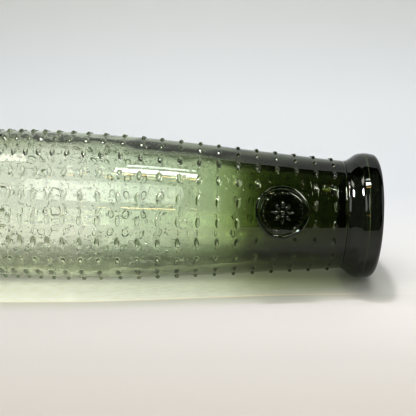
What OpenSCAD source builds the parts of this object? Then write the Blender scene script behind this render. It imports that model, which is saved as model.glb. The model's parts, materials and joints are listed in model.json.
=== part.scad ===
// Wide-mouthed green glass bottle: a blown barrel-shaped shell with a push-up base, an applied
// lip, rows of raised glass drops and an applied round seal on the neck.
// It stands upright: +Z runs up the axis to the mouth, and z = 0 is the face that it rests on.

/* [Bottle] */
// Height of the bottle, from the resting face to the top of the lip
height = 300; // [290:1:340]
// Outer diameter of the belly, the widest place of the glass
belly_d = 83.3; // [76:0.1:92]
// Height of the widest place
belly_z = 115; // [100:1:130]
// Outer diameter of the neck at its narrowest
neck_d = 61.8; // [58:0.1:66]
// How much the neck still narrows where the lip begins, as radius over height
neck_slope = 0.074; // [0:0.001:0.12]
// Outer diameter just above the rounded heel
base_d = 74.4; // [68:0.1:80]
// Radius of the rounded heel
heel_r = 8; // [5:0.5:12]

/* [Wall] */
// Thickness of the side wall from the heel to the belly
body_wall = 4.2; // [3:0.1:5.5]
// Diameter of the straight bore through the neck and the lip
mouth_d = 52; // [48:0.1:54]
// Length of the straight bore, from the top of the lip down
mouth_len = 36; // [28:1:44]
// Thickness of the glass over the base
base_wall = 7; // [5:0.5:10]
// Height of the push-up in the base
push_up = 14; // [6:1:22]
// Diameter of the push-up, inside the ring that the bottle rests on
push_up_d = 48; // [36:1:52]

/* [Lip] */
// Outer diameter of the lip's band
lip_d = 71.7; // [68:0.1:76]
// Height of the lip, from the narrowest place of the neck to the top
lip_h = 19; // [16:0.5:24]
// Height of the cove that flares from the neck to the band
cove_h = 9.5; // [7:0.5:12]
// Radius of the lip's outer top edge
lip_edge_r = 3.5; // [2:0.1:4.5]
// Radius of the lip's inner top edge
mouth_edge_r = 2; // [1:0.1:2.5]

/* [Drops] */
// Number of drops in one ring around the glass
drops_per_ring = 20; // [12:1:24]
// Turn of the rows from the middle of the seal, in degrees
drop_turn = -7; // [-9:0.5:9]
// Length of a drop around the glass
drop_len = 5.8; // [4:0.1:7]
// Height of a drop over the glass, and half its width
drop_h = 1.3; // [0.8:0.1:1.6]
// Share of its size that a drop keeps at the top of the neck
neck_drop_share = 0.8; // [0.6:0.05:1]
// Height of the highest ring
top_ring_z = 274; // [268:0.5:275]
// Height that no ring goes below
lowest_ring_z = 12; // [11:0.5:30]
// Distance between the rings from the shoulder up
wide_pitch = 10.7; // [9:0.1:12]
// Distance between the rings on the belly
close_pitch = 6.6; // [6:0.1:9]
// Height where the wide distance starts to shrink
wide_above_z = 152; // [140:1:170]
// Height where the close distance is reached
close_below_z = 106; // [90:1:120]

/* [Seal] */
// Diameter of the seal
seal_d = 30; // [24:0.5:34]
// Height of the seal's centre
seal_z = 244.6; // [235:0.1:255]
// Thickness of the seal's disc over the glass
seal_pad_h = 1.2; // [0.8:0.1:2]
// Height of the seal's rim over the glass
seal_rim_h = 2.4; // [1.5:0.1:3.5]
// Width of the seal's rim
seal_rim_w = 2.6; // [1.5:0.1:4]
// Radius of one of the small beads in the seal
bead_r = 0.7; // [0.4:0.1:1]
// Number of beads in the seal's ring
bead_count = 28; // [16:1:32]
// Number of petals of the rosette
petal_count = 8; // [5:1:10]
// Length of a petal
petal_len = 5; // [3:0.1:6]
// Height of a petal over the disc
petal_h = 1; // [0.5:0.1:1.5]
// Radius of the rosette's round centre
centre_r = 1.5; // [0.8:0.1:2]

/* [Hidden] */
$fn = 96;

pale_glass = [0.66, 0.76, 0.62];
deep_glass = [0.26, 0.36, 0.22];
drop_glass = [0.55, 0.66, 0.50];
seal_glass = [0.34, 0.45, 0.28];

belly_r = belly_d / 2;
neck_r = neck_d / 2;
base_r = base_d / 2;
mouth_r = mouth_d / 2;
lip_r = lip_d / 2;
seal_r = seal_d / 2;
push_up_r = push_up_d / 2;
neck_z = height - lip_h;
bore_z = height - mouth_len;
band_z = neck_z + cove_h;

profile_step = 6;     // spacing of the outline's points along the axis
arc_step = 15;        // spacing of the points along small round edges, in degrees
cove_steps = 10;
push_up_steps = 8;
band_bulge = 0.25;    // how far the band's middle stands out
seal_turn = -90;      // the seal faces -Y
drop_gap = 0.6;       // clear glass between the seal and the nearest drops
bead_ring_share = 0.85;

// Outer radius of the glass at height z: a barrel that tapers to the neck in one long curve.
function below_belly(z) = belly_r - (belly_r - base_r) * pow((belly_z - z) / (belly_z - heel_r), 2);
function hermite_rise(t) = 3 * t * t - 2 * t * t * t;
function hermite_slope(t) = t * t * t - 2 * t * t + t;
function above_belly(z) =
    let (span = neck_z - belly_z, t = (neck_z - z) / span)
    neck_r + (belly_r - neck_r) * hermite_rise(t) + neck_slope * span * hermite_slope(t);
function outer_r(z) = z < belly_z ? below_belly(z) : above_belly(z);

// Inner radius at height z: the wall thickens slowly from the belly to the bore.
function wall(z) =
    let (t = max(0, (z - belly_z) / (bore_z - belly_z)))
    body_wall + t * (outer_r(bore_z) - mouth_r - body_wall);
function inner_r(z) = outer_r(z) - wall(z);

// Lean of the outer surface at height z, in degrees, positive where the glass narrows upwards.
function lean(z) = atan(outer_r(z - 0.5) - outer_r(z + 0.5));

// Heights of the outline's points from a to b, evenly spaced with both ends.
function stations(a, b) =
    let (n = ceil((b - a) / profile_step))
    [for (i = [0 : n]) a + (b - a) * i / n];

// Height of the push-up at radius r, for a push-up that ends at radius edge.
function push_up_at(r, edge) = push_up * (1 + cos(180 * r / edge)) / 2;

outside = concat(
    [for (a = [0 : arc_step : 90 - arc_step])
        [base_r - heel_r * (1 - sin(a)), heel_r * (1 - cos(a))]],
    [for (z = stations(heel_r, belly_z)) [outer_r(z), z]],
    [for (z = stations(belly_z, neck_z)) if (z > belly_z) [outer_r(z), z]]
);
floor_r = inner_r(base_wall + heel_r) - heel_r;
inside = concat(
    [[mouth_r, neck_z], [mouth_r, bore_z]],
    [for (z = stations(-bore_z, -base_wall - heel_r)) if (-z < bore_z) [inner_r(-z), -z]],
    [for (a = [90 - arc_step : -arc_step : 0])
        [floor_r + heel_r * sin(a), base_wall + heel_r * (1 - cos(a))]],
    [for (i = [push_up_steps - 1 : -1 : 0])
        let (r = floor_r * i / push_up_steps)
        [r, base_wall + push_up_at(r, floor_r)]]
);
underside = [for (i = [0 : push_up_steps])
    let (r = push_up_r * i / push_up_steps)
    [r, push_up_at(r, push_up_r)]];

module glass_body() {
    color(pale_glass)
        rotate_extrude()
            polygon(concat(outside, inside, underside));
}

// The lip: a cove from the neck, a nearly straight band, and rounded edges at the mouth.
cove = [for (i = [0 : cove_steps])
    let (t = i / cove_steps)
    [neck_r + (lip_r - band_bulge - neck_r) * (1 - cos(180 * t)) / 2, neck_z + cove_h * t]];
band_top_z = height - lip_edge_r;
lip_top_r = lip_r - band_bulge - lip_edge_r;
lip_outside = concat(
    cove,
    [[lip_r, (band_z + band_top_z) / 2]],
    [for (a = [0 : arc_step : 90])
        [lip_top_r + lip_edge_r * cos(a), band_top_z + lip_edge_r * sin(a)]]
);
lip_inside = concat(
    [for (a = [90 : arc_step : 180])
        [mouth_r + mouth_edge_r * (1 + cos(a)), height - mouth_edge_r * (1 - sin(a))]],
    [[mouth_r, neck_z]]
);

module lip_ring() {
    color(deep_glass)
        rotate_extrude()
            polygon(concat(lip_outside, lip_inside));
}

// Puts its children on the glass: their +Z points out of the surface and their Y runs around it.
module on_glass(z, turn, lift = 0) {
    rotate([0, 0, turn])
        translate([outer_r(z), 0, z])
            rotate([0, 90 - lean(z), 0])
                translate([0, 0, lift])
                    children();
}

// Half of a pointed drop, flat side down: len long in Y, and h high.
module drop(len, h) {
    arc_r = (len * len / 4 + h * h) / (2 * h);
    rotate([90, 0, 0])
        rotate_extrude(angle = 180)
            intersection() {
                translate([h - arc_r, 0])
                    rotate(180)
                        circle(r = arc_r);
                translate([0, -len / 2])
                    square([h, len]);
            }
}

// Half of a small round bead, flat side down.
module bead(r) {
    rotate_extrude()
        intersection() {
            circle(r = r);
            square([r, r]);
        }
}

// Distance from ring to ring at height z, and the heights of all rings from the top down.
function pitch(z) =
    let (t = (z - close_below_z) / (wide_above_z - close_below_z))
    close_pitch + (wide_pitch - close_pitch) * min(1, max(0, t));
function rings_from(z) = z < lowest_ring_z ? [] : concat([z], rings_from(z - pitch(z - pitch(z) / 2)));
rings = rings_from(top_ring_z);

// Size of the drops in a ring: full on the body, and smaller towards the top of the neck.
function drop_share(z) =
    let (t = (z - wide_above_z) / (top_ring_z - wide_above_z))
    1 + (neck_drop_share - 1) * max(0, t);

// True where a drop at height z, turned by turn from the seal, would lie under the seal.
function under_seal(z, turn) =
    let (around = outer_r(z) * turn * PI / 180, up = z - seal_z,
         reach_around = seal_r + drop_len / 2 + drop_gap, reach_up = seal_r + drop_h + drop_gap)
    pow(around / reach_around, 2) + pow(up / reach_up, 2) < 1;

// All drops of the rings between two heights. Each is sunk until its tips meet the round glass.
module drops_between(low, high) {
    for (z = rings)
        if (z >= low && z < high)
            for (k = [0 : drops_per_ring - 1]) {
                full_turn = drop_turn + k * 360 / drops_per_ring;
                turn = full_turn > 180 ? full_turn - 360 : full_turn;
                len = drop_len * drop_share(z);
                if (!under_seal(z, turn))
                    on_glass(z, seal_turn + turn, -len * len / (8 * outer_r(z)))
                        drop(len, drop_h * drop_share(z));
            }
}

module drops_belly() {
    color(drop_glass)
        drops_between(0, wide_above_z);
}

module drops_shoulder() {
    color(drop_glass)
        drops_between(wide_above_z, seal_z - seal_r);
}

module drops_neck() {
    color(drop_glass)
        drops_between(seal_z - seal_r, neck_z);
}

// A sleeve of the given thickness around the neck, as wide as the seal and more. It follows the
// same points as the glass's own outline, so the two meet face to face.
sleeve_z = [for (z = stations(belly_z, neck_z))
    if (abs(z - seal_z) < seal_r + profile_step) z];

module sleeve(thickness) {
    last = len(sleeve_z) - 1;
    rotate_extrude()
        polygon(concat(
            [for (z = sleeve_z) [outer_r(z) + thickness, z]],
            [for (i = [last : -1 : 0]) [outer_r(sleeve_z[i]), sleeve_z[i]]]
        ));
}

// A round post of radius r through the seal's centre, out of the front of the neck.
module seal_post(r) {
    translate([0, 0, seal_z])
        rotate([90, 0, 0])
            cylinder(r = r, h = belly_d);
}

module seal_disc() {
    color(seal_glass)
        intersection() {
            sleeve(seal_pad_h);
            seal_post(seal_r - seal_rim_w);
        }
}

module seal_rim() {
    color(seal_glass)
        intersection() {
            sleeve(seal_rim_h);
            difference() {
                seal_post(seal_r);
                seal_post(seal_r - seal_rim_w);
            }
        }
}

// Puts its children on the seal's disc, at a distance from its centre in the direction a.
module on_seal(distance, a) {
    z = seal_z + distance * sin(a);
    turn = distance * cos(a) / (outer_r(z) + seal_pad_h) * 180 / PI;
    on_glass(z, seal_turn + turn, seal_pad_h)
        rotate([0, 0, -a])
            children();
}

module seal_beads() {
    color(seal_glass)
        for (k = [0 : bead_count - 1])
            on_seal((seal_r - seal_rim_w) * bead_ring_share, k * 360 / bead_count)
                bead(bead_r);
}

module seal_rosette() {
    color(seal_glass) {
        for (k = [0 : petal_count - 1])
            on_seal(centre_r + petal_len / 2, k * 360 / petal_count)
                drop(petal_len, petal_h);
        on_seal(0, 0)
            bead(centre_r);
    }
}

glass_body();
lip_ring();
drops_belly();
drops_shoulder();
drops_neck();
seal_disc();
seal_rim();
seal_beads();
seal_rosette();
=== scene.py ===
import json
import math

import bpy
import numpy as np
from mathutils import Matrix, Vector


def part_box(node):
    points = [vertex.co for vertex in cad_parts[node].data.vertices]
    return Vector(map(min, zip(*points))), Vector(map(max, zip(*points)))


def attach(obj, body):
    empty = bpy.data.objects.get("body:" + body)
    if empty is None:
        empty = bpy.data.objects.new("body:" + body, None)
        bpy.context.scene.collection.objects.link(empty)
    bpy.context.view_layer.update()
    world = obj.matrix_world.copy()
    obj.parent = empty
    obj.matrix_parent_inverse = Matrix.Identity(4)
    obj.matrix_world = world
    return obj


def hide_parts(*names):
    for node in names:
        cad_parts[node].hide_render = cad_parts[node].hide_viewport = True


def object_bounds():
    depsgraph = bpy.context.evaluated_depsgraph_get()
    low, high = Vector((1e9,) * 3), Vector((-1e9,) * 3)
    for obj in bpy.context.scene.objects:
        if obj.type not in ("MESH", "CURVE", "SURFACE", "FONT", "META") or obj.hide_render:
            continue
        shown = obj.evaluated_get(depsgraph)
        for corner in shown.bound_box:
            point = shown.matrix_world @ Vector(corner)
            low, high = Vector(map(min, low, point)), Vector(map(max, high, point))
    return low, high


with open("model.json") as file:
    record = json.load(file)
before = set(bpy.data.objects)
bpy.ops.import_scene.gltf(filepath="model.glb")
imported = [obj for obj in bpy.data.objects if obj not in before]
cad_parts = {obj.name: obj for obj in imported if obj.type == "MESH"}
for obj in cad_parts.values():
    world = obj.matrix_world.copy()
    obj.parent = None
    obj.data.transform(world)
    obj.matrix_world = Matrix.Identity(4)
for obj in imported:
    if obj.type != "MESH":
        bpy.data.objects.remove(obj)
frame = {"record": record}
cad_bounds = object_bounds()

# ---------------------------------------------------------------- sizes, in metres
MM = 0.001
shell_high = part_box("glass_body")[1]
lip_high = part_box("lip_ring")[1]
mounts = {mount["name"]: mount for mount in frame["record"]["mounts"]}

HEIGHT = lip_high.z
NECK_Z = shell_high.z
BELLY_R = shell_high.x
LIP_R = lip_high.x
MOUTH_R = mounts["mouth"]["dims"]["r_mm"] * MM
BORE_Z = HEIGHT - 36 * MM  # foot of the straight bore
BELLY_Z = 115 * MM        # the widest height
NECK_R = 30.9 * MM        # under the lip
NECK_SLOPE = 0.074        # how fast the radius still falls there
BASE_R = 37.2 * MM
HEEL_R = 8 * MM
BODY_WALL = 4.2 * MM
BASE_WALL = 7 * MM
PUSH_UP = 14 * MM         # height of the hollow under the base
PUSH_UP_R = 24 * MM
OVERLAP = 0.03 * MM       # how far two touching pieces of glass go into each other

# Rows of drops
DROPS = 20                # in one ring
DROP_TURN = -7            # degrees from the middle of the seal
DROP_LEN = 5.8 * MM
DROP_H = 1.3 * MM
NECK_DROP_SHARE = 0.8     # size of the highest drops beside those on the body
DROP_CAP = 0.37           # 0.5 is a half ellipse; less is flatter on top and steeper at the edge
TOP_RING_Z = 274 * MM
LOWEST_RING_Z = 12 * MM
WIDE_PITCH = 10.7 * MM    # from ring to ring, on the shoulder and neck
CLOSE_PITCH = 6.6 * MM    # and on the belly
WIDE_ABOVE_Z = 152 * MM
CLOSE_BELOW_Z = 106 * MM

# Seal
SEAL_TURN = -90           # degrees: the seal faces -Y
SEAL_R = 15 * MM
SEAL_Z = 244.6 * MM
SEAL_PAD_H = 1.2 * MM
SEAL_RIM_H = 2.4 * MM
SEAL_RIM_W = 2.6 * MM
SEAL_DISH = 0.25 * MM     # how far the middle of the disc is sunk

random = np.random.default_rng(7)  # for the drops, the seeds and the seal's beads, in that order


# ---------------------------------------------------------------- outline of the glass
def outer_r(z):
    """Outer radius at height z: a barrel that tapers to the neck in one long curve."""
    below = BELLY_R - (BELLY_R - BASE_R) * ((BELLY_Z - z) / (BELLY_Z - HEEL_R)) ** 2
    span = NECK_Z - BELLY_Z
    t = (NECK_Z - z) / span
    rise = 3 * t * t - 2 * t ** 3
    slope = t ** 3 - 2 * t * t + t
    above = NECK_R + (BELLY_R - NECK_R) * rise + NECK_SLOPE * span * slope
    return np.where(z < BELLY_Z, below, above)


def wall(z):
    """Thickness of the side wall at height z."""
    t = np.maximum(0, (z - BELLY_Z) / (BORE_Z - BELLY_Z))
    return BODY_WALL + t * (outer_r(BORE_Z) - MOUTH_R - BODY_WALL)


def inner_r(z):
    """Inner radius at height z: the wall's thickness in from the outline, then the straight bore."""
    return np.where(z < BORE_Z, outer_r(z) - wall(z), MOUTH_R)


def push_up_at(r, edge):
    """Height of the push-up at radius r, for a push-up that ends at radius edge."""
    return PUSH_UP * (1 + np.cos(np.pi * r / edge)) / 2


def pitch(z):
    """Distance between two rings of drops at height z."""
    t = (z - CLOSE_BELOW_Z) / (WIDE_ABOVE_Z - CLOSE_BELOW_Z)
    return CLOSE_PITCH + (WIDE_PITCH - CLOSE_PITCH) * min(1, max(0, t))


def ring_heights():
    """Heights of the rings of drops, from the top down."""
    heights = []
    z = TOP_RING_Z
    while z >= LOWEST_RING_Z:
        heights.append(z)
        z -= pitch(z - pitch(z) / 2)
    return heights


def drop_share(z):
    """Size of the drops at height z beside those on the body."""
    t = (z - WIDE_ABOVE_Z) / (TOP_RING_Z - WIDE_ABOVE_Z)
    return 1 + (NECK_DROP_SHARE - 1) * max(0, t)


def under_seal(z, turn):
    """True where a drop at height z, turned by turn degrees from the seal, would lie under it."""
    around = float(outer_r(z)) * math.radians(turn)
    gap = 0.6 * MM
    reach_around = SEAL_R + DROP_LEN / 2 + gap
    reach_up = SEAL_R + DROP_H + gap
    return (around / reach_around) ** 2 + ((z - SEAL_Z) / reach_up) ** 2 < 1


# ---------------------------------------------------------------- mesh helpers
def new_object(name, vertices, faces):
    mesh = bpy.data.meshes.new(name)
    mesh.from_pydata(np.asarray(vertices).tolist(), [], faces)
    mesh.validate()
    mesh.shade_smooth()
    obj = bpy.data.objects.new(name, mesh)
    bpy.context.scene.collection.objects.link(obj)
    return obj


def band(lower, upper):
    """Faces between two closed rows of vertex numbers, with as many in both or twice as many in one."""
    n, m = len(lower), len(upper)
    if n == m:
        return [(lower[i], lower[(i + 1) % n], upper[(i + 1) % n], upper[i]) for i in range(n)]
    faces = []
    if n == 2 * m:
        for i in range(m):
            a, b, c = lower[2 * i], lower[2 * i + 1], lower[(2 * i + 2) % n]
            faces += [(a, b, upper[i]), (b, c, upper[(i + 1) % m], upper[i])]
    else:
        for i in range(n):
            a, b, c = upper[2 * i], upper[2 * i + 1], upper[(2 * i + 2) % m]
            faces += [(lower[i], b, a), (lower[i], lower[(i + 1) % n], c, b)]
    return faces


def fan(pole, row, outward):
    """Triangles between one vertex and a closed row."""
    n = len(row)
    if outward:
        return [(pole, row[i], row[(i + 1) % n]) for i in range(n)]
    return [(pole, row[(i + 1) % n], row[i]) for i in range(n)]


def row_numbers(rows, columns, first=0):
    """Vertex numbers of closed rows that follow each other, from the number first."""
    return [list(range(first + i * columns, first + (i + 1) * columns)) for i in range(rows)]


def even_turns(columns):
    """The turns of so many columns, evenly around the axis."""
    return np.radians(np.arange(columns) * 360 / columns)


def ring_points(turns, radii, height):
    """Points on a ring around the axis, one for each turn."""
    radii = np.broadcast_to(radii, turns.shape)
    height = np.broadcast_to(height, turns.shape)
    return np.stack([radii * np.cos(turns), radii * np.sin(turns), height], axis=1)


def waves(count, turns_most, shortest, longest, size, seed):
    """Soft unevenness of blown glass, as a function of turn and height. It adds up count waves, with up to
    turns_most of them around the glass and lengths from shortest to longest up it."""
    draw = np.random.default_rng(seed)
    around = draw.integers(1, turns_most + 1, count)
    length = draw.uniform(shortest, longest, count)
    phase = draw.uniform(0, 2 * np.pi, count)
    sign = draw.choice([-1, 1], count)
    strength = draw.uniform(0.4, 1, count) / np.sqrt(count)

    def at(turn, z):
        total = np.zeros(np.broadcast(turn, z).shape)
        for k in range(count):
            total += strength[k] * np.sin(around[k] * turn + sign[k] * 2 * np.pi * z / length[k] + phase[k])
        return size * total

    return at


# ---------------------------------------------------------------- drops
def all_drops():
    """Centre, size and lean of every drop: (z, turn in radians, half length, half width, height, lean)."""
    shift_up, shift_around, most_lean = 0.22 * MM, 0.35, math.radians(7)
    drops = []
    for z in ring_heights():
        for k in range(DROPS):
            turn = (DROP_TURN + k * 360 / DROPS + 180) % 360 - 180
            share = drop_share(z)
            jitter = random.uniform(-1, 1, 6)
            if under_seal(z, turn):
                continue
            # Each is a little off its place and a little larger or smaller than its neighbours.
            drops.append((
                z + shift_up * jitter[0],
                math.radians(SEAL_TURN + turn + shift_around * jitter[1]),
                DROP_LEN / 2 * share * (0.95 + 0.07 * jitter[2]),
                DROP_H * share * (0.93 + 0.06 * jitter[3]),
                (DROP_H + 0.1 * MM) * share * (0.96 + 0.07 * jitter[4]),
                most_lean * jitter[5],
            ))
    return drops


def drop_height(rho):
    """Height of a drop at the share rho of its radius: a round cap that runs into the glass in a fillet."""
    edge, end = 0.9, 1.27
    edge_height = (1 - edge * edge) ** DROP_CAP
    cap = np.clip(1 - rho * rho, 0, None) ** DROP_CAP
    foot = edge_height * np.clip((end - rho) / (end - edge), 0, None) ** 2.2
    return np.where(rho < edge, cap, foot)


def add_drops(relief, turns, heights, drops):
    """Adds the drops to relief, a table of heights over the glass by row and column."""
    for z, turn, half_len, half_width, height, lean in drops:
        rows = np.nonzero(np.abs(heights - z) < 1.6 * half_width)[0]
        off = (turns - turn + np.pi) % (2 * np.pi) - np.pi
        radius = float(outer_r(z))
        columns = np.nonzero(np.abs(off) * radius < 1.3 * half_len)[0]
        u = (off[columns] * radius)[None, :]
        v = (heights[rows] - z)[:, None]
        along = (u * math.cos(lean) + v * math.sin(lean)) / half_len
        across = (v * math.cos(lean) - u * math.sin(lean)) / half_width
        rho = np.sqrt(along ** 2 + across ** 2)
        patch = np.ix_(rows, columns)
        relief[patch] = np.maximum(relief[patch], height * drop_height(rho))


# ---------------------------------------------------------------- the blown shell
def fine_turns():
    """Turns of the columns: close together over the drops and wider between them."""
    dense, sparse = 18, 6
    half = 5.0            # degrees each way from the middle of a drop
    cell = 360 / DROPS
    inside_cell = np.concatenate([
        np.linspace(-half, half, dense, endpoint=False),
        np.linspace(half, cell - half, sparse, endpoint=False),
    ])
    start = SEAL_TURN + DROP_TURN
    return np.radians(np.concatenate([start + k * cell + inside_cell for k in range(DROPS)]))


def fine_heights():
    """Heights of the rows on the side, from the heel up: close together over the rings of drops."""
    reach, dense, widest = 1.8 * MM, 14, 1.3 * MM
    rows = []
    low = HEEL_R
    for z in reversed(ring_heights()):
        gap = z - reach - low
        steps = max(1, math.ceil(gap / widest))
        rows += [low + gap * i / steps for i in range(steps)]
        rows += list(np.linspace(z - reach, z + reach, dense + 1)[:-1])
        low = z + reach
    steps = math.ceil((NECK_Z - low) / widest)
    rows += [low + (NECK_Z - low) * i / steps for i in range(steps + 1)]
    return np.array(rows)


def base_rows(turns, half_turns):
    """The push-up, the ring that the bottle rests on and the heel, from the middle out."""
    rows = []
    for share in np.linspace(0, 1, 15)[1:]:
        r = PUSH_UP_R * share
        rows.append(ring_points(half_turns, r, push_up_at(r, PUSH_UP_R)))
    for r in np.linspace(PUSH_UP_R, BASE_R - HEEL_R, 5)[1:]:
        rows.append(ring_points(half_turns, r, 0))
    for angle in np.radians(np.arange(7.5, 90, 7.5)):
        r = BASE_R - HEEL_R * (1 - np.sin(angle))
        rows.append(ring_points(turns, r, HEEL_R * (1 - np.cos(angle))))
    return rows


def side_rows(turns, drops):
    """The outside from the heel up to the lip, with its waves and its drops."""
    depth = 0.06 * MM
    uneven = waves(18, 9, 25 * MM, 90 * MM, depth, 11)
    heights = fine_heights()
    relief = np.zeros((len(heights), len(turns)))
    add_drops(relief, turns, heights, drops)
    fade = np.clip(np.minimum(heights - HEEL_R, NECK_Z - heights) / (8 * MM), 0, 1)[:, None]
    relief += fade * (uneven(turns[None, :], heights[:, None]) - depth)
    radius = outer_r(heights)
    slope = np.gradient(radius, heights)
    normal = 1 / np.sqrt(1 + slope ** 2)
    rows = []
    for i, z in enumerate(heights):
        out = relief[i] * normal[i]
        rows.append(ring_points(turns, radius[i] + out, z - out * slope[i]))
    rows[-1] = ring_points(turns, NECK_R - OVERLAP, NECK_Z + OVERLAP)
    return rows


def inside_rows(half_turns):
    """The flat top under the lip, the bore, and the inner wall with a dent behind each ring of drops."""
    rows = [ring_points(half_turns, (NECK_R + MOUTH_R) / 2, NECK_Z + OVERLAP),
            ring_points(half_turns, MOUTH_R + OVERLAP, NECK_Z + OVERLAP)]
    depth, inset, dent, dent_reach = 0.16 * MM, 0.15 * MM, 0.16 * MM, 2.2 * MM
    uneven = waves(40, 14, 14 * MM, 80 * MM, depth, 12)
    ring_z = np.array(ring_heights())
    for z in np.linspace(NECK_Z - 1 * MM, BASE_WALL + HEEL_R, 185):
        # The bore is plain, and its foot runs into the uneven wall below.
        behind = dent * np.exp(-((z - ring_z) / dent_reach) ** 2).sum()
        fade = min(1, max(0, (BORE_Z + 6 * MM - z) / (25 * MM)))
        shift = fade * (behind + uneven(half_turns, z) - inset)
        rows.append(ring_points(half_turns, inner_r(z) + shift, z))
    return rows


def floor_rows(half_turns):
    """The rounded corner of the inside and its floor over the push-up, in to the middle."""
    rows = []
    floor_r = float(inner_r(BASE_WALL + HEEL_R)) - HEEL_R
    for angle in np.radians(np.arange(81, 0, -9)):
        rows.append(ring_points(half_turns, floor_r + HEEL_R * np.sin(angle),
                                BASE_WALL + HEEL_R * (1 - np.cos(angle))))
    for share in np.linspace(1, 0, 15)[:-1]:
        r = floor_r * share
        rows.append(ring_points(half_turns, r, BASE_WALL + push_up_at(r, floor_r)))
    return rows


def make_shell(drops):
    """The blown shell with its drops: one closed skin, up the outside and down the inside."""
    turns = fine_turns()
    half_turns = turns[::2]
    rows = (base_rows(turns, half_turns) + side_rows(turns, drops)
            + inside_rows(half_turns) + floor_rows(half_turns))
    vertices = np.concatenate([[(0, 0, PUSH_UP)], *rows, [(0, 0, BASE_WALL + PUSH_UP)]])
    numbers = []
    first = 1
    for row in rows:
        numbers.append(list(range(first, first + len(row))))
        first += len(row)
    faces = fan(0, numbers[0], outward=False)
    for lower, upper in zip(numbers, numbers[1:]):
        faces += band(lower, upper)
    faces += fan(first, numbers[-1], outward=True)
    vertices, faces = add_seeds(vertices, faces)
    return new_object("glass_shell", vertices, faces)


# ---------------------------------------------------------------- seeds: small bubbles in the wall
def on_sphere(polar, turn):
    """Point of a unit sphere, polar radians down from its top."""
    return math.sin(polar) * math.cos(turn), math.sin(polar) * math.sin(turn), math.cos(polar)


def sphere_net(rings, columns):
    """Points and faces of a unit sphere whose faces look inwards, as the wall of a bubble does."""
    points = [(0, 0, 1)]
    for i in range(1, rings):
        polar = math.pi * i / rings
        for k in range(columns):
            turn = 2 * math.pi * k / columns
            points.append(on_sphere(polar, turn))
    points.append((0, 0, -1))
    row = row_numbers(rings - 1, columns, 1)
    faces = fan(0, row[0], outward=False)
    for upper, lower in zip(row, row[1:]):
        faces += band(upper, lower)
    faces += fan(len(points) - 1, row[-1], outward=True)
    return np.array(points, float), faces


def add_seeds(vertices, faces):
    """Adds small long bubbles in the middle of the wall."""
    count = 90
    net, net_faces = sphere_net(6, 8)
    parts, seed_faces = [vertices], []
    first = len(vertices)
    for _ in range(count):
        z = random.uniform(30 * MM, BORE_Z)
        turn = random.uniform(0, 2 * math.pi)
        width = random.uniform(0.14, 0.32) * MM
        long = width * random.uniform(1.0, 3.2)
        depth = random.uniform(0.35, 0.6) * float(wall(z))
        radial = Vector((math.cos(turn), math.sin(turn), 0))
        around = Vector((-math.sin(turn), math.cos(turn), 0))
        lean = random.uniform(-0.5, 0.5)
        along = Vector((0, 0, 1)) * math.cos(lean) + around * math.sin(lean)
        axes = np.array([radial * width, along.cross(radial) * width, along * long])
        centre = np.array(radial * (float(outer_r(z)) - depth)) + np.array([0, 0, z])
        parts.append(net @ axes + centre)
        seed_faces += [tuple(first + i for i in face) for face in net_faces]
        first += len(net)
    return np.concatenate(parts), faces + seed_faces


# ---------------------------------------------------------------- lip
def make_lip():
    """The applied lip: a cove from the neck, a softly bulging band, and rounded edges at the mouth."""
    cove_h, bulge, edge_r, mouth_edge_r = 9.5 * MM, 0.25 * MM, 3.5 * MM, 2 * MM
    band_z = NECK_Z + cove_h
    top_z = HEIGHT - edge_r
    profile = []
    # Up the outside: the cove, the bulging band and its rounded upper edge.
    for t in np.linspace(0, 1, 22):
        flare = (1 - math.cos(math.pi * t)) / 2
        profile.append((NECK_R + (LIP_R - bulge - NECK_R) * flare, NECK_Z + cove_h * t))
    for t in np.linspace(0, 1, 8)[1:-1]:
        profile.append((LIP_R - bulge + bulge * math.sin(math.pi * t), band_z + (top_z - band_z) * t))
    for angle in np.radians(np.arange(0, 91, 7.5)):
        profile.append((LIP_R - bulge - edge_r + edge_r * math.cos(angle), top_z + edge_r * math.sin(angle)))
    # In over the flat top, round the edge of the mouth and down the bore.
    crown_from = LIP_R - bulge - edge_r
    crown_to = MOUTH_R + mouth_edge_r
    for t in np.linspace(0, 1, 5)[1:-1]:
        profile.append((crown_from + (crown_to - crown_from) * t, HEIGHT))
    for angle in np.radians(np.arange(90, 181, 11.25)):
        profile.append((crown_to + mouth_edge_r * math.cos(angle),
                        HEIGHT - mouth_edge_r * (1 - math.sin(angle))))
    for t in np.linspace(0, 1, 9)[1:]:
        profile.append((MOUTH_R, HEIGHT - mouth_edge_r + (NECK_Z - HEIGHT + mouth_edge_r) * t))
    profile.append(((MOUTH_R + NECK_R) / 2, NECK_Z))

    columns = 240
    turns = even_turns(columns)
    depth = 0.16 * MM
    uneven = waves(10, 5, 40 * MM, 90 * MM, depth, 21)
    tooled = waves(12, 22, 4 * MM, 12 * MM, 0.035 * MM, 22)
    rows = []
    for r, z in profile:
        # There are no waves at the joint with the neck or in the bore.
        free = min(1, max(0, (z - NECK_Z) / (5 * MM))) * min(1, max(0, (r - MOUTH_R) / (3 * MM)))
        shift = free * (uneven(turns, z) + tooled(turns, z) - depth)
        rows.append(ring_points(turns, r + shift, z))
    numbers = row_numbers(len(rows), columns)
    faces = []
    for lower, upper in zip(numbers, numbers[1:] + numbers[:1]):
        faces += band(lower, upper)
    return new_object("lip_band", np.concatenate(rows), faces)


# ---------------------------------------------------------------- seal
def on_neck(u, v, height):
    """Points u metres around and v metres up the neck from the seal's centre, at a height over the glass."""
    z = SEAL_Z + v
    radius = outer_r(z)
    slope = (outer_r(z + MM) - outer_r(z - MM)) / (2 * MM)
    normal = 1 / np.sqrt(1 + slope ** 2)
    turn = np.radians(SEAL_TURN) + u / (float(outer_r(SEAL_Z)) + SEAL_PAD_H)
    r = radius + height * normal
    return np.stack([r * np.cos(turn), r * np.sin(turn), z - height * normal * slope], axis=-1)


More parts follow.
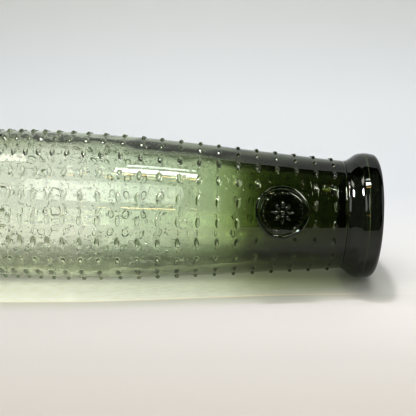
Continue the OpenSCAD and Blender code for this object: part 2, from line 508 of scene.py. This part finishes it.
def polar_rows(profile, columns, wobble):
    """Rows on the neck for a closed round profile of (distance from the centre, height)."""
    turn = even_turns(columns)
    rows = []
    for distance, height in profile:
        spread = 1 + wobble(turn, distance) if wobble else 1
        u = distance * spread * np.cos(turn)
        v = distance * spread * np.sin(turn)
        rows.append(on_neck(u, v, height))
    return rows


def make_seal_disc():
    """The disc: slightly dished, with its underside just inside the glass."""
    columns = 72
    reach = SEAL_R - SEAL_RIM_W + OVERLAP
    top = [(reach * t, SEAL_PAD_H - SEAL_DISH * (1 - t * t)) for t in np.linspace(0, 1, 16)[1:]]
    under = [(reach * t, -OVERLAP) for t in np.linspace(1, 0, 10)[:-1]]
    rows = polar_rows(top + under, columns, None)
    centre = [on_neck(np.zeros(1), np.zeros(1), np.full(1, SEAL_PAD_H - SEAL_DISH)),
              on_neck(np.zeros(1), np.zeros(1), np.full(1, -OVERLAP))]
    vertices = np.concatenate([centre[0], *rows, centre[1]])
    numbers = row_numbers(len(rows), columns, 1)
    faces = fan(0, numbers[0], outward=True)
    for inner, outer in zip(numbers, numbers[1:]):
        faces += band(outer, inner)
    faces += fan(len(vertices) - 1, numbers[-1], outward=False)
    return new_object("seal_plate", vertices, faces)


def make_seal_rim():
    """The rolled edge of the seal: a round bead that leans outwards and varies a little."""
    columns = 120
    middle = SEAL_R - SEAL_RIM_W / 2
    profile = []
    for angle in np.radians(np.arange(0, 181, 9)):
        side = math.cos(angle)
        profile.append((middle + SEAL_RIM_W / 2 * math.copysign(abs(side) ** 0.8, side),
                        -OVERLAP + (SEAL_RIM_H + OVERLAP) * math.sin(angle) ** 0.75))
    for t in np.linspace(0, 1, 5)[1:-1]:
        profile.append((middle - SEAL_RIM_W / 2 + SEAL_RIM_W * t, -OVERLAP))
    wobble = waves(6, 4, 1, 2, 0.012, 31)
    rows = polar_rows(profile, columns, wobble)
    numbers = row_numbers(len(rows), columns)
    faces = []
    for first, second in zip(numbers, numbers[1:] + numbers[:1]):
        faces += band(first, second)
    return new_object("seal_roll", np.concatenate(rows), faces)


def dome_net(rings, columns):
    """Points (x, y, height) and faces of a closed unit half dome with a flat underside."""
    points = [(0, 0, 1)]
    for i in range(1, rings + 1):
        polar = math.pi / 2 * i / rings
        for k in range(columns):
            turn = 2 * math.pi * k / columns
            points.append(on_sphere(polar, turn))
    points.append((0, 0, 0))
    row = row_numbers(rings, columns, 1)
    faces = fan(0, row[0], outward=True)
    for inner, outer in zip(row, row[1:]):
        faces += band(outer, inner)
    faces += fan(len(points) - 1, row[-1], outward=False)
    return np.array(points, float), faces


def make_domes(name, domes):
    """One piece of closed domes on the seal: (u, v, half length, half width, height, turn, point) of each.
    point narrows a dome's two ends: 0 leaves it an ellipse."""
    net, net_faces = dome_net(7, 20)
    parts, faces, first = [], [], 0
    for u, v, half_len, half_width, height, turn, point in domes:
        x = net[:, 0] * half_len
        y = net[:, 1] * half_width * (1 - point * net[:, 0] ** 2)
        along = u + x * math.cos(turn) - y * math.sin(turn)
        up = v + x * math.sin(turn) + y * math.cos(turn)
        level = seal_level(np.hypot(along, up)) - OVERLAP
        parts.append(on_neck(along, up, level + net[:, 2] * (height + OVERLAP)))
        faces += [tuple(first + i for i in face) for face in net_faces]
        first += len(net)
    return new_object(name, np.concatenate(parts), faces)


def seal_level(distance):
    """Height of the disc's surface over the glass at a distance from the seal's centre."""
    share = distance / (SEAL_R - SEAL_RIM_W)
    return SEAL_PAD_H - SEAL_DISH * (1 - share * share)


def make_seal_beads():
    """The ring of small round beads inside the seal's rim."""
    count, bead_r, bead_h = 28, 0.7 * MM, 0.75 * MM
    distance = (SEAL_R - SEAL_RIM_W) * 0.85
    domes = []
    for k in range(count):
        turn = 2 * math.pi * k / count
        size = bead_r * random.uniform(0.85, 1.1)
        domes.append((distance * math.cos(turn), distance * math.sin(turn), size, size, bead_h, 0, 0))
    return make_domes("seal_bead_ring", domes)


def make_seal_rosette():
    """A plain rosette: a round centre with pointed petals around it."""
    petals, petal_len, petal_half_width, petal_h = 8, 5 * MM, 1.05 * MM, 1 * MM
    centre_r, centre_h = 1.5 * MM, 1.2 * MM
    domes = [(0, 0, centre_r, centre_r, centre_h, 0, 0)]
    for k in range(petals):
        turn = 2 * math.pi * k / petals
        distance = centre_r + petal_len / 2 + 0.15 * MM
        domes.append((distance * math.cos(turn), distance * math.sin(turn),
                      petal_len / 2, petal_half_width, petal_h, turn, 0.55))
    return make_domes("seal_petals", domes)


# ---------------------------------------------------------------- node helpers
def fill(tree, socket, value):
    """Links value to the socket if it is an output, and sets it there if it is a number or a colour."""
    if isinstance(value, bpy.types.NodeSocket):
        tree.links.new(value, socket)
    else:
        socket.default_value = value


def object_place(tree):
    """The place in the object's own frame, in metres."""
    return tree.nodes.new("ShaderNodeTexCoord").outputs["Object"]


def split(tree, vector):
    """The X, Y and Z of a vector."""
    node = tree.nodes.new("ShaderNodeSeparateXYZ")
    tree.links.new(vector, node.inputs["Vector"])
    return node.outputs


def distance_along(tree, direction):
    """Metres from the origin in a direction. For AWAY + UP it adds the metres away and the metres up."""
    node = tree.nodes.new("ShaderNodeVectorMath")
    node.operation = "DOT_PRODUCT"
    node.inputs[1].default_value = direction
    tree.links.new(object_place(tree), node.inputs[0])
    return node.outputs["Value"]


def noise(tree, vector, scale, detail, distortion=0):
    """Soft clouds from 0 to 1. scale: how many there are in a unit of vector."""
    node = tree.nodes.new("ShaderNodeTexNoise")
    node.inputs["Scale"].default_value = scale
    node.inputs["Detail"].default_value = detail
    node.inputs["Distortion"].default_value = distortion
    tree.links.new(vector, node.inputs["Vector"])
    return node.outputs["Fac"]


def mapped(tree, source, from_range, to_range=(0, 1), smooth=False):
    """source brought from one range to another, held at its ends."""
    node = tree.nodes.new("ShaderNodeMapRange")
    if smooth:
        node.interpolation_type = "SMOOTHSTEP"
    tree.links.new(source, node.inputs["Value"])
    names = ("From Min", "From Max", "To Min", "To Max")
    for name, value in zip(names, (*from_range, *to_range)):
        node.inputs[name].default_value = value
    return node.outputs["Result"]


def math_of(tree, operation, *values):
    """Result of an operation on numbers."""
    node = tree.nodes.new("ShaderNodeMath")
    node.operation = operation
    for socket, value in zip(node.inputs, values):
        fill(tree, socket, value)
    return node.outputs[0]


def vector_of(tree, operation, first, second):
    """Result of an operation on two vectors, or for SCALE on a vector and a number."""
    node = tree.nodes.new("ShaderNodeVectorMath")
    node.operation = operation
    fill(tree, node.inputs[0], first)
    fill(tree, node.inputs["Scale" if operation == "SCALE" else 1], second)
    return node.outputs["Vector"]


def colour_ramp(tree, share, stops):
    """A ramp of (share, colour) pairs."""
    node = tree.nodes.new("ShaderNodeValToRGB")
    elements = node.color_ramp.elements
    while len(elements) < len(stops):
        elements.new(0.5)
    for element, (position, colour) in zip(elements, stops):
        element.position = position
        element.color = (*colour, 1)
    tree.links.new(share, node.inputs["Fac"])
    return node.outputs["Color"]


def mixed_colour(tree, share, first, second):
    """first where share is 0, and second where it is 1."""
    node = tree.nodes.new("ShaderNodeMix")
    node.data_type = "RGBA"
    fill(tree, node.inputs["Factor"], share)
    fill(tree, node.inputs[6], first)
    fill(tree, node.inputs[7], second)
    return node.outputs[2]


def mixed_shader(tree, share, first, second):
    """first where share is 0, and second where it is 1."""
    node = tree.nodes.new("ShaderNodeMixShader")
    tree.links.new(share, node.inputs["Fac"])
    tree.links.new(first, node.inputs[1])
    tree.links.new(second, node.inputs[2])
    return node.outputs["Shader"]


def bumped(tree, height, strength, distance, normal=None):
    """Normals of a relief of the height given, on top of normal if that is given."""
    node = tree.nodes.new("ShaderNodeBump")
    node.inputs["Strength"].default_value = strength
    node.inputs["Distance"].default_value = distance
    tree.links.new(height, node.inputs["Height"])
    if normal is not None:
        tree.links.new(normal, node.inputs["Normal"])
    return node.outputs["Normal"]


def new_material(name):
    """A material with only its output node: (material, tree, output)."""
    material = bpy.data.materials.new(name)
    material.use_nodes = True
    tree = material.node_tree
    tree.nodes.clear()
    return material, tree, tree.nodes.new("ShaderNodeOutputMaterial")


def principled(tree):
    """The main shader of a finished material."""
    return next(node for node in tree.nodes if node.type == "BSDF_PRINCIPLED")


# ---------------------------------------------------------------- glass materials
LAMP_TINT = (0.99, 1.0, 0.97)   # of the lamps' light that goes straight through one surface of the glass
LAMP_GAMMA = 0.16               # how much of the glass's own colour that light takes
SEAL_SIDE_SHARE = 0.98          # of a lamp's light that one surface lets through on the side of the seal
FAR_SIDE_SHARE = 0.76           # and on the far side
CALM_FROM_Z = 170 * MM          # the glass is creased below this and smooth from the next height up
CALM_TO_Z = 225 * MM
LIGHT_LINE_Z = HEIGHT - 8 * MM        # height of the pale line painted round the lip's band, standing in for light the crease there lets through
DARK_LIP = (0.014, 0.016, 0.011)


def glass_tints(tree, z, tints, edge_tints_and_shade, low, high):
    """The colour of the glass seen square on, and the colour at a slant: partly the deeper tint of the
    longer way through, partly painted shade.
    """
    drift = math_of(tree, "MULTIPLY_ADD", noise(tree, object_place(tree), 22, 2), 0.02, z)
    share = mapped(tree, drift, (low, high))
    square_on = colour_ramp(tree, share, tints)
    at_a_slant = colour_ramp(tree, share, edge_tints_and_shade)
    slant = tree.nodes.new("ShaderNodeLayerWeight")
    slant.inputs["Blend"].default_value = 0.5
    edge = mapped(tree, slant.outputs["Facing"], (0.34, 0.55), smooth=True)
    return square_on, mixed_colour(tree, edge, square_on, at_a_slant)


def lamp_colour(tree, colour, y):
    """The share and colour of a lamp's light that goes straight through one surface."""
    root = tree.nodes.new("ShaderNodeGamma")
    root.inputs["Gamma"].default_value = LAMP_GAMMA
    tree.links.new(colour, root.inputs["Color"])
    share = mapped(tree, y, (-0.1 * BELLY_R, 0.35 * BELLY_R), (SEAL_SIDE_SHARE, FAR_SIDE_SHARE))
    return vector_of(tree, "SCALE", vector_of(tree, "MULTIPLY", root.outputs["Color"], LAMP_TINT), share)


def glass_relief(tree, z, ripple, creases):
    """Soft dimples, and fine creases on the body that fade towards the neck."""
    dimples = noise(tree, object_place(tree), 120, 1)
    wrinkles = noise(tree, object_place(tree), 400, 1.5, 1.2)
    crease = mapped(tree, wrinkles, (0.64, 0.72), smooth=True)
    calm = mapped(tree, z, (CALM_FROM_Z, CALM_TO_Z), (1, 0.06), smooth=True)
    soft = bumped(tree, dimples, ripple, 0.15 * MM)
    return bumped(tree, math_of(tree, "MULTIPLY", crease, calm), creases, 0.35 * MM, soft)


def glass(name, tints, edge_tints_and_shade, low, high, absorb, density, ripple, creases, haze):
    """Green glass. tints and the tints at a slant are (share of the height from low to high, colour) pairs
    along
    the bottle: tints where the surface is seen square on, the others where it is seen at a slant, partly for
    the long way through the glass and partly painted shade at the silhouettes."""
    material, tree, output = new_material(name)
    shader = tree.nodes.new("ShaderNodeBsdfPrincipled")
    shader.inputs["Transmission Weight"].default_value = 1
    shader.inputs["IOR"].default_value = 1.48
    xyz = split(tree, object_place(tree))
    square_on, tint = glass_tints(tree, xyz["Z"], tints, edge_tints_and_shade, low, high)
    tree.links.new(tint, shader.inputs["Base Color"])
    smears = noise(tree, object_place(tree), 90, 3)
    tree.links.new(mapped(tree, smears, (0.45, 0.8), (haze * 0.2, haze)), shader.inputs["Roughness"])
    tree.links.new(glass_relief(tree, xyz["Z"], ripple, creases), shader.inputs["Normal"])

    # A lamp's light goes straight through, which stands in for caustics.
    clear = tree.nodes.new("ShaderNodeBsdfTransparent")
    tree.links.new(lamp_colour(tree, square_on, xyz["Y"]), clear.inputs["Color"])
    path = tree.nodes.new("ShaderNodeLightPath")
    both = mixed_shader(tree, path.outputs["Is Shadow Ray"], shader.outputs["BSDF"], clear.outputs["BSDF"])
    tree.links.new(both, output.inputs["Surface"])

    volume = tree.nodes.new("ShaderNodeVolumeAbsorption")
    volume.inputs["Color"].default_value = (*absorb, 1)
    volume.inputs["Density"].default_value = density
    tree.links.new(volume.outputs["Volume"], output.inputs["Volume"])
    return material


def shell_glass():
    """Pale green in the body, and deeper and darker towards the neck."""
    tints = [
        (0.00, (0.98, 1.00, 0.91)),
        (0.50, (0.98, 1.00, 0.91)),
        (0.58, (0.91, 0.96, 0.84)),
        (0.64, (0.83, 0.89, 0.76)),
        (0.71, (0.79, 0.85, 0.69)),
        (0.77, (0.69, 0.77, 0.57)),
        (0.81, (0.55, 0.63, 0.40)),
        (0.855, (0.25, 0.30, 0.13)),
        (0.90, (0.15, 0.19, 0.065)),
        (1.00, (0.11, 0.14, 0.05)),
    ]
    # At a slant: the longer way through the glass, and painted shade where the silhouettes see the shaded
    # table and the dark room.
    edge_tints_and_shade = [
        (0.00, (0.66, 0.70, 0.56)),
        (0.50, (0.60, 0.65, 0.50)),
        (0.58, (0.44, 0.48, 0.36)),
        (0.66, (0.17, 0.19, 0.12)),
        (0.78, (0.09, 0.10, 0.065)),
        (0.90, (0.04, 0.042, 0.04)),
    ]
    return glass("green_shell_glass", tints, edge_tints_and_shade, 0, NECK_Z,
                 absorb=(0.47, 0.69, 0.25), density=8, ripple=0.2, creases=0.9, haze=0.03)


def lip_glass():
    """Green like the neck at the foot of the cove, then nearly black, with a pale line round the band that
    is painted light from the crease there.
    """
    neck = (0.11, 0.14, 0.05)
    tints = [(0.0, neck), (0.40, neck), (0.54, DARK_LIP), (1.0, DARK_LIP)]
    # At a slant: darker with the long way through, and painted shade.
    edge_tints_and_shade = [(0.0, (0.04, 0.042, 0.045)), (0.3, DARK_LIP), (1.0, DARK_LIP)]
    material = glass("dark_lip_glass", tints, edge_tints_and_shade, NECK_Z, HEIGHT,
                     absorb=(0.40, 0.62, 0.10), density=50, ripple=0.1, creases=0, haze=0.02)
    tree = material.node_tree
    shader = principled(tree)
    # Painted light: a narrow, lighter and less clear green line round the band, where the crease lets light
    # through.
    painted_line = math_of(tree, "COMPARE", split(tree, object_place(tree))["Z"], LIGHT_LINE_Z, 0.22 * MM)
    clearness = math_of(tree, "MULTIPLY_ADD", painted_line, -0.35, 1)
    tree.links.new(clearness, shader.inputs["Transmission Weight"])
    tint = shader.inputs["Base Color"].links[0].from_socket
    tree.links.new(mixed_colour(tree, painted_line, tint, (0.13, 0.17, 0.07, 1)), shader.inputs["Base Color"])
    return material


def seal_glass(name, colour):
    """Thick green glass, a little darker towards the top of the seal."""
    tints = [(0.0, colour), (1.0, [0.8 * c for c in colour])]
    return glass(name, tints, tints, SEAL_Z - SEAL_R, SEAL_Z + SEAL_R,
                 absorb=(0.40, 0.66, 0.10), density=120, ripple=0.3, creases=0.4, haze=0.03)


# ---------------------------------------------------------------- the stage
# The bottle lies on the table in the main view: the table touches the belly's drops and the lip.
TABLE_LEAN = 18           # degrees that the camera looks down at the table
belly_touch = cad_bounds[1].x  # how far the drops reach from the axis, where they touch the table
touch_z = 112 * MM
lip_touch_z = HEIGHT - 6.5 * MM
table_slope = (belly_touch - LIP_R) / (lip_touch_z - touch_z)
lean = math.radians(TABLE_LEAN)
UP = -Vector((math.cos(lean), math.sin(lean), table_slope)).normalized()
ALONG = (Vector((0, 0, 1)) - UP * UP.z).normalized()
AWAY = UP.cross(ALONG)
TABLE_POINT = -UP * (belly_touch + table_slope * touch_z)
TABLE_LEVEL = TABLE_POINT.dot(UP)
DARK_FROM = 0.465         # where the painted shade of the unlit room starts, along the table and up the backdrop, above what the camera sees
DARK_OVER = 0.03          # and the length over which it gets dark
FLOOR_Z = -0.2 * MM       # just under the bottle


def one_sided(name, along, stops):
    """A matt pale surface seen only from its front. stops are (metres in the direction along, colour)."""
    material, tree, output = new_material(name)
    shader = tree.nodes.new("ShaderNodeBsdfPrincipled")
    shader.inputs["Roughness"].default_value = 0.75
    shader.inputs["Specular IOR Level"].default_value = 0.2
    low, high = stops[0][0], stops[-1][0]
    share = mapped(tree, distance_along(tree, along), (low, high))
    shares = [((at - low) / (high - low), colour) for at, colour in stops]
    tree.links.new(colour_ramp(tree, share, shares), shader.inputs["Base Color"])
    clear = tree.nodes.new("ShaderNodeBsdfTransparent")
    side = tree.nodes.new("ShaderNodeNewGeometry")
    both = mixed_shader(tree, side.outputs["Backfacing"], shader.outputs["BSDF"], clear.outputs["BSDF"])
    tree.links.new(both, output.inputs["Surface"])
    return material


def paint_far_shade(material):
    """Painted shade: above the frame the backdrop's colour turns dark, in what the glass bends only,
    standing in for an unlit room.
    """
    tree = material.node_tree
    colour = principled(tree).inputs["Base Color"]
    from_here = TABLE_LEVEL + DARK_FROM
    far = mapped(tree, distance_along(tree, AWAY + UP), (from_here, from_here + DARK_OVER), smooth=True)
    path = tree.nodes.new("ShaderNodeLightPath")
    seen = math_of(tree, "MULTIPLY", far, path.outputs["Is Transmission Ray"])
    pale = colour.links[0].from_socket
    # The near-black colour is painted shade.
    tree.links.new(mixed_colour(tree, seen, pale, (0.006, 0.006, 0.006, 1)), colour)


def add_painted_caustics(material):
    """Painted light: emission on the table that stands in for the light the bottle gathers before it, a pale
    rippled band with a warm edge.
    """
    tree = material.node_tree
    away = distance_along(tree, AWAY)
    z = split(tree, object_place(tree))["Z"]

    # How far the band has come from its front edge, where it is as wide as the bottle.
    half_width = mapped(tree, z, (BELLY_Z, NECK_Z), (BELLY_R, NECK_R), smooth=True)
    inside = math_of(tree, "ADD", away, half_width)
    in_band = mapped(tree, inside, (-1 * MM, 0.5 * MM), smooth=True)
    off_contact = mapped(tree, away, (-0.12 * BELLY_R, -0.5 * BELLY_R), smooth=True)
    mask = math_of(tree, "MULTIPLY", in_band, off_contact)

    stretched = tree.nodes.new("ShaderNodeCombineXYZ")
    tree.links.new(math_of(tree, "MULTIPLY", away, 420), stretched.inputs["X"])
    tree.links.new(math_of(tree, "MULTIPLY", z, 150), stretched.inputs["Y"])
    wave = noise(tree, stretched.outputs["Vector"], 1, 2, 0.6)
    ripple = mapped(tree, wave, (0.3, 0.7), (0.75, 1.3), smooth=True)
    strength = mapped(tree, z, (BELLY_Z, NECK_Z), (0.25, 0.03))
    glow = math_of(tree, "MULTIPLY", math_of(tree, "MULTIPLY", mask, ripple), strength)

    edge = math_of(tree, "MULTIPLY", mapped(tree, inside, (-1.8 * MM, -0.6 * MM), smooth=True),
                   mapped(tree, inside, (1.2 * MM, -0.4 * MM), smooth=True))
    edge_strength = mapped(tree, z, (NECK_Z, HEIGHT), (0.14, 0), smooth=True)
    edge_glow = math_of(tree, "MULTIPLY", edge, edge_strength)
    # The band and its warm edge are painted light, given off by the table itself.
    pale = vector_of(tree, "SCALE", (0.97, 1.0, 0.76), glow)
    warm = vector_of(tree, "SCALE", (1.0, 0.55, 0.18), edge_glow)
    shader = principled(tree)
    tree.links.new(vector_of(tree, "ADD", pale, warm), shader.inputs["Emission Color"])
    shader.inputs["Emission Strength"].default_value = 1


def make_table():
    """The pale table that the bottle lies on in the main view, which sweeps up into a backdrop."""
    front, sweep_from, sweep_r, top, width = -0.23, 0.08, 0.28, 0.75, 0.95
    outline = [(front + (sweep_from - front) * i / 6, 0) for i in range(7)]
    for i in range(1, 25):
        angle = math.pi / 2 * i / 24
        outline.append((sweep_from + sweep_r * math.sin(angle), sweep_r * (1 - math.cos(angle))))
    outline += [(sweep_from + sweep_r, sweep_r + (top - sweep_r) * i / 4) for i in range(1, 5)]
    vertices = []
    for away, height in outline:
        base = TABLE_POINT + AWAY * away + UP * height
        start = base - ALONG * (base.z / ALONG.z)
        vertices += [tuple(start), tuple(start + ALONG * width)]
    faces = [(2 * i, 2 * i + 1, 2 * i + 3, 2 * i + 2) for i in range(len(outline) - 1)]
    table = new_object("stage_table", vertices, faces)
    if table.data.polygons[0].normal.dot(UP) < 0:
        table.data.flip_normals()
    # Painted light and shade: the paper's tone follows how the light falls, lightest just before the bottle,
    # darker and warmer towards the front edge, cooler and darker up the backdrop.
    stops = [(-0.16, (0.68, 0.63, 0.59)), (-0.11, (0.71, 0.68, 0.65)), (-0.05, (0.83, 0.80, 0.77)),
             (0.15, (0.68, 0.69, 0.72)), (0.29, (0.68, 0.70, 0.72)), (0.36, (0.64, 0.655, 0.67)),
             (0.45, (0.58, 0.59, 0.58))]
    stops = [(at + TABLE_LEVEL, colour) for at, colour in stops]
    paper = one_sided("stage_table_paper", AWAY + UP, stops)
    paint_far_shade(paper)
    add_painted_caustics(paper)
    table.data.materials.append(paper)
    return table


def make_floor():
    """The pale floor under the upright bottle."""
    columns = 64
    rows = [ring_points(even_turns(columns), radius, FLOOR_Z) for radius in (0.05, 0.12, 0.25, 0.45, 0.7)]
    vertices = np.concatenate([[(0, 0, FLOOR_Z)], *rows])
    numbers = row_numbers(len(rows), columns, 1)
    faces = fan(0, numbers[0], outward=True)
    for inner, outer in zip(numbers, numbers[1:]):
        faces += band(outer, inner)
    floor = new_object("stage_floor", vertices, faces)
    paper = (0.84, 0.83, 0.80)
    floor.data.materials.append(one_sided("stage_floor_paper", (0, 1, 0), [(-0.7, paper), (0.7, paper)]))
    floor.visible_glossy = False
    return floor


# ---------------------------------------------------------------- light and camera
PALE_ROOM = (0.86, 0.87, 0.86, 1)
DARK_ROOM = (0.03, 0.03, 0.026, 1)
MIRRORED_ROOM = (0.02, 0.02, 0.018, 1)
FILL_ROOM = (0.22, 0.22, 0.22, 1)
WHITE = (1.0, 1.0, 1.0)
COOL = (0.97, 0.99, 1.0)


def direction(elevation):
    """Unit vector at an elevation over the table: 0 is towards the camera, 90 straight up, 180 away."""
    turn = math.radians(elevation)
    return (-AWAY * math.cos(turn) + UP * math.sin(turn)).normalized()


def add_lamp(name, shape, power, colour, only=None):
    """An area lamp that no camera sees. only: the collection that it lights."""
    light = bpy.data.lights.new(name, "AREA")
    light.shape = shape
    light.energy = power
    light.color = colour
    lamp = bpy.data.objects.new(name, light)
    bpy.context.scene.collection.objects.link(lamp)
    lamp.visible_camera = False
    if only is not None:
        lamp.light_linking.receiver_collection = only
    return lamp


def add_panel(name, elevation, distance, z, along, across, power, colour, only=None):
    """A lamp of along by across at an elevation over the table, aimed at the axis at height z."""
    panel = add_lamp(name, "RECTANGLE", power, colour, only)
    panel.data.size = along
    panel.data.size_y = across
    towards = direction(elevation)
    turn = Matrix((ALONG, towards.cross(ALONG), towards)).transposed().to_4x4()
    panel.matrix_world = Matrix.Translation(Vector((0, 0, z)) + towards * distance) @ turn
    return panel


def add_table_lamps(papers):
    """Small bright lamps that throw the bottle's shade on the table."""
    add_panel("key", elevation=99, distance=0.9, z=0.17, along=0.06, across=0.03,
              power=2.4, colour=(0.90, 0.97, 1.0), only=papers)
    add_panel("warm_key", elevation=93.5, distance=0.9, z=0.17, along=0.06, across=0.03,
              power=1.0, colour=(1.0, 0.82, 0.62), only=papers)


def add_glass_lamps(gleams, side_gleams):
    """The highlights: windows and lamps that light only the glass."""
    add_panel("upper_glint", elevation=86, distance=0.92, z=0.27, along=0.14, across=0.06,
              power=0.3, colour=(0.94, 0.98, 1.0), only=gleams)
    add_panel("glint", elevation=77, distance=0.92, z=0.265, along=0.17, across=0.10,
              power=2.2, colour=(1.0, 0.98, 0.94), only=gleams)
    add_panel("ember", elevation=70, distance=0.92, z=0.265, along=0.17, across=0.03,
              power=0.22, colour=(1.0, 0.60, 0.22), only=gleams)
    add_panel("low_ember", elevation=17, distance=0.8, z=0.24, along=0.10, across=0.02,
              power=0.10, colour=(1.0, 0.66, 0.30), only=gleams)
    add_panel("window", elevation=40, distance=0.7, z=0.143, along=0.29, across=0.38,
              power=1.2, colour=(0.98, 1.0, 0.94), only=gleams)
    add_panel("far_band", elevation=91, distance=0.9, z=-0.24, along=0.42, across=0.20,
              power=2.0, colour=(1.0, 0.97, 0.86), only=gleams)
    sparkle = add_panel("sparkle", elevation=70, distance=0.9, z=-0.48, along=0.25, across=0.25,
                        power=32, colour=WHITE, only=gleams)
    mouth_side = add_panel("mouth_side", elevation=66, distance=0.9, z=0.82, along=0.42, across=0.40,
                           power=14, colour=WHITE, only=side_gleams)
    sparkle.visible_transmission = False
    mouth_side.visible_transmission = False


def add_soft_lamps():
    """A wide soft lamp over the table, and a weak one over the upright bottle for the other views."""
    sky = add_panel("sky", elevation=88, distance=0.9, z=0.15, along=0.8, across=0.7,
                    power=4.5, colour=COOL)
    sky.visible_glossy = False
    sky.visible_transmission = False
    lamp = add_lamp("top_fill", "DISK", 2, COOL)
    lamp.data.size = 0.8
    lamp.location = (-0.25, -0.1, 1.3)
    lamp.rotation_euler = (lamp.location - Vector((0, 0, 0.1))).to_track_quat("Z", "Y").to_euler()


def room(tree, colour):
    """Light of one colour from all round."""
    node = tree.nodes.new("ShaderNodeBackground")
    node.inputs["Color"].default_value = colour
    return node.outputs["Background"]


def make_world():
    """A pale surround. The room on the photographer's side is dark in what the glass bends and mirrors."""
    world = bpy.data.worlds.new("surround")
    bpy.context.scene.world = world
    world.use_nodes = True
    tree = world.node_tree
    tree.nodes.clear()
    output = tree.nodes.new("ShaderNodeOutputWorld")
    place = tree.nodes.new("ShaderNodeTexCoord")
    path = tree.nodes.new("ShaderNodeLightPath")
    seal_side = mapped(tree, split(tree, place.outputs["Generated"])["Y"], (0.1, -0.4), smooth=True)
    bent = math_of(tree, "MULTIPLY", seal_side, path.outputs["Is Transmission Ray"])
    mirrored = math_of(tree, "MULTIPLY", path.outputs["Is Reflection Ray"], path.outputs["Is Glossy Ray"])
    shade = mixed_shader(tree, bent, room(tree, PALE_ROOM), room(tree, DARK_ROOM))
    shade = mixed_shader(tree, mirrored, shade, room(tree, MIRRORED_ROOM))
    shade = mixed_shader(tree, path.outputs["Is Diffuse Ray"], shade, room(tree, FILL_ROOM))
    tree.links.new(shade, output.inputs["Surface"])


def make_camera():
    """The photographer's view: the bottle lies on the table, seen square to its axis from a little above."""
    distance = 0.54
    aim_z = 204.9 * MM
    aim_over_axis = 1.0 * MM
    focal_px, frame_px = 940, 416
    data = bpy.data.cameras.new("main_camera")
    data.sensor_width = 36
    data.lens = data.sensor_width * focal_px / frame_px
    camera = bpy.data.objects.new("main_camera", data)
    bpy.context.scene.collection.objects.link(camera)
    forward = AWAY * math.cos(lean) - UP * math.sin(lean)
    up = UP * math.cos(lean) + AWAY * math.sin(lean)
    place = Vector((0, 0, aim_z)) + up * aim_over_axis - forward * distance
    camera.matrix_world = Matrix.Translation(place) @ Matrix((ALONG, up, -forward)).transposed().to_4x4()
    bpy.context.scene.camera = camera


def set_look():
    """Exposure, and how far light is followed. Caustics are off: see glass, and the caustic band painted on
    the table.
    """
    scene = bpy.context.scene
    scene.view_settings.view_transform = "Standard"
    scene.view_settings.exposure = 0.13
    scene.view_settings.gamma = 0.86
    scene.cycles.max_bounces = 24
    scene.cycles.transmission_bounces = 24
    scene.cycles.glossy_bounces = 10
    scene.cycles.transparent_max_bounces = 16
    scene.cycles.caustics_reflective = False
    scene.cycles.caustics_refractive = False
    scene.cycles.use_denoising = True
    scene.cycles.sample_clamp_indirect = 6
    scene.cycles.filter_width = 1.15
    scene.cycles.seed = 3


def new_collection(name, pieces):
    collection = bpy.data.collections.new(name)
    for piece in pieces:
        collection.objects.link(piece)
    return collection


# ---------------------------------------------------------------- put together
shell = make_shell(all_drops())
shell.data.materials.append(shell_glass())
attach(shell, "root")
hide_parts("glass_body", "drops_belly", "drops_shoulder", "drops_neck")

lip = make_lip()
lip.data.materials.append(lip_glass())
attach(lip, "root")
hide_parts("lip_ring")

seal_pieces = [
    (make_seal_disc(), "seal_disc", "seal_plate_glass", (0.22, 0.27, 0.15)),
    (make_seal_rim(), "seal_rim", "seal_roll_glass", (0.20, 0.25, 0.13)),
    (make_seal_beads(), "seal_beads", "seal_bead_glass", (0.22, 0.27, 0.14)),
    (make_seal_rosette(), "seal_rosette", "seal_petal_glass", (0.22, 0.27, 0.14)),
]
for piece, node, material_name, colour in seal_pieces:
    piece.data.materials.append(seal_glass(material_name, colour))
    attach(piece, "root")
    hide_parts(node)

table = make_table()
floor = make_floor()
shell_and_seal = [shell, *(entry[0] for entry in seal_pieces)]
add_table_lamps(new_collection("papers", [table, floor]))
add_glass_lamps(new_collection("gleams_on", [*shell_and_seal, lip]),
                new_collection("side_gleams_on", shell_and_seal))
add_soft_lamps()
make_world()
make_camera()
set_look()
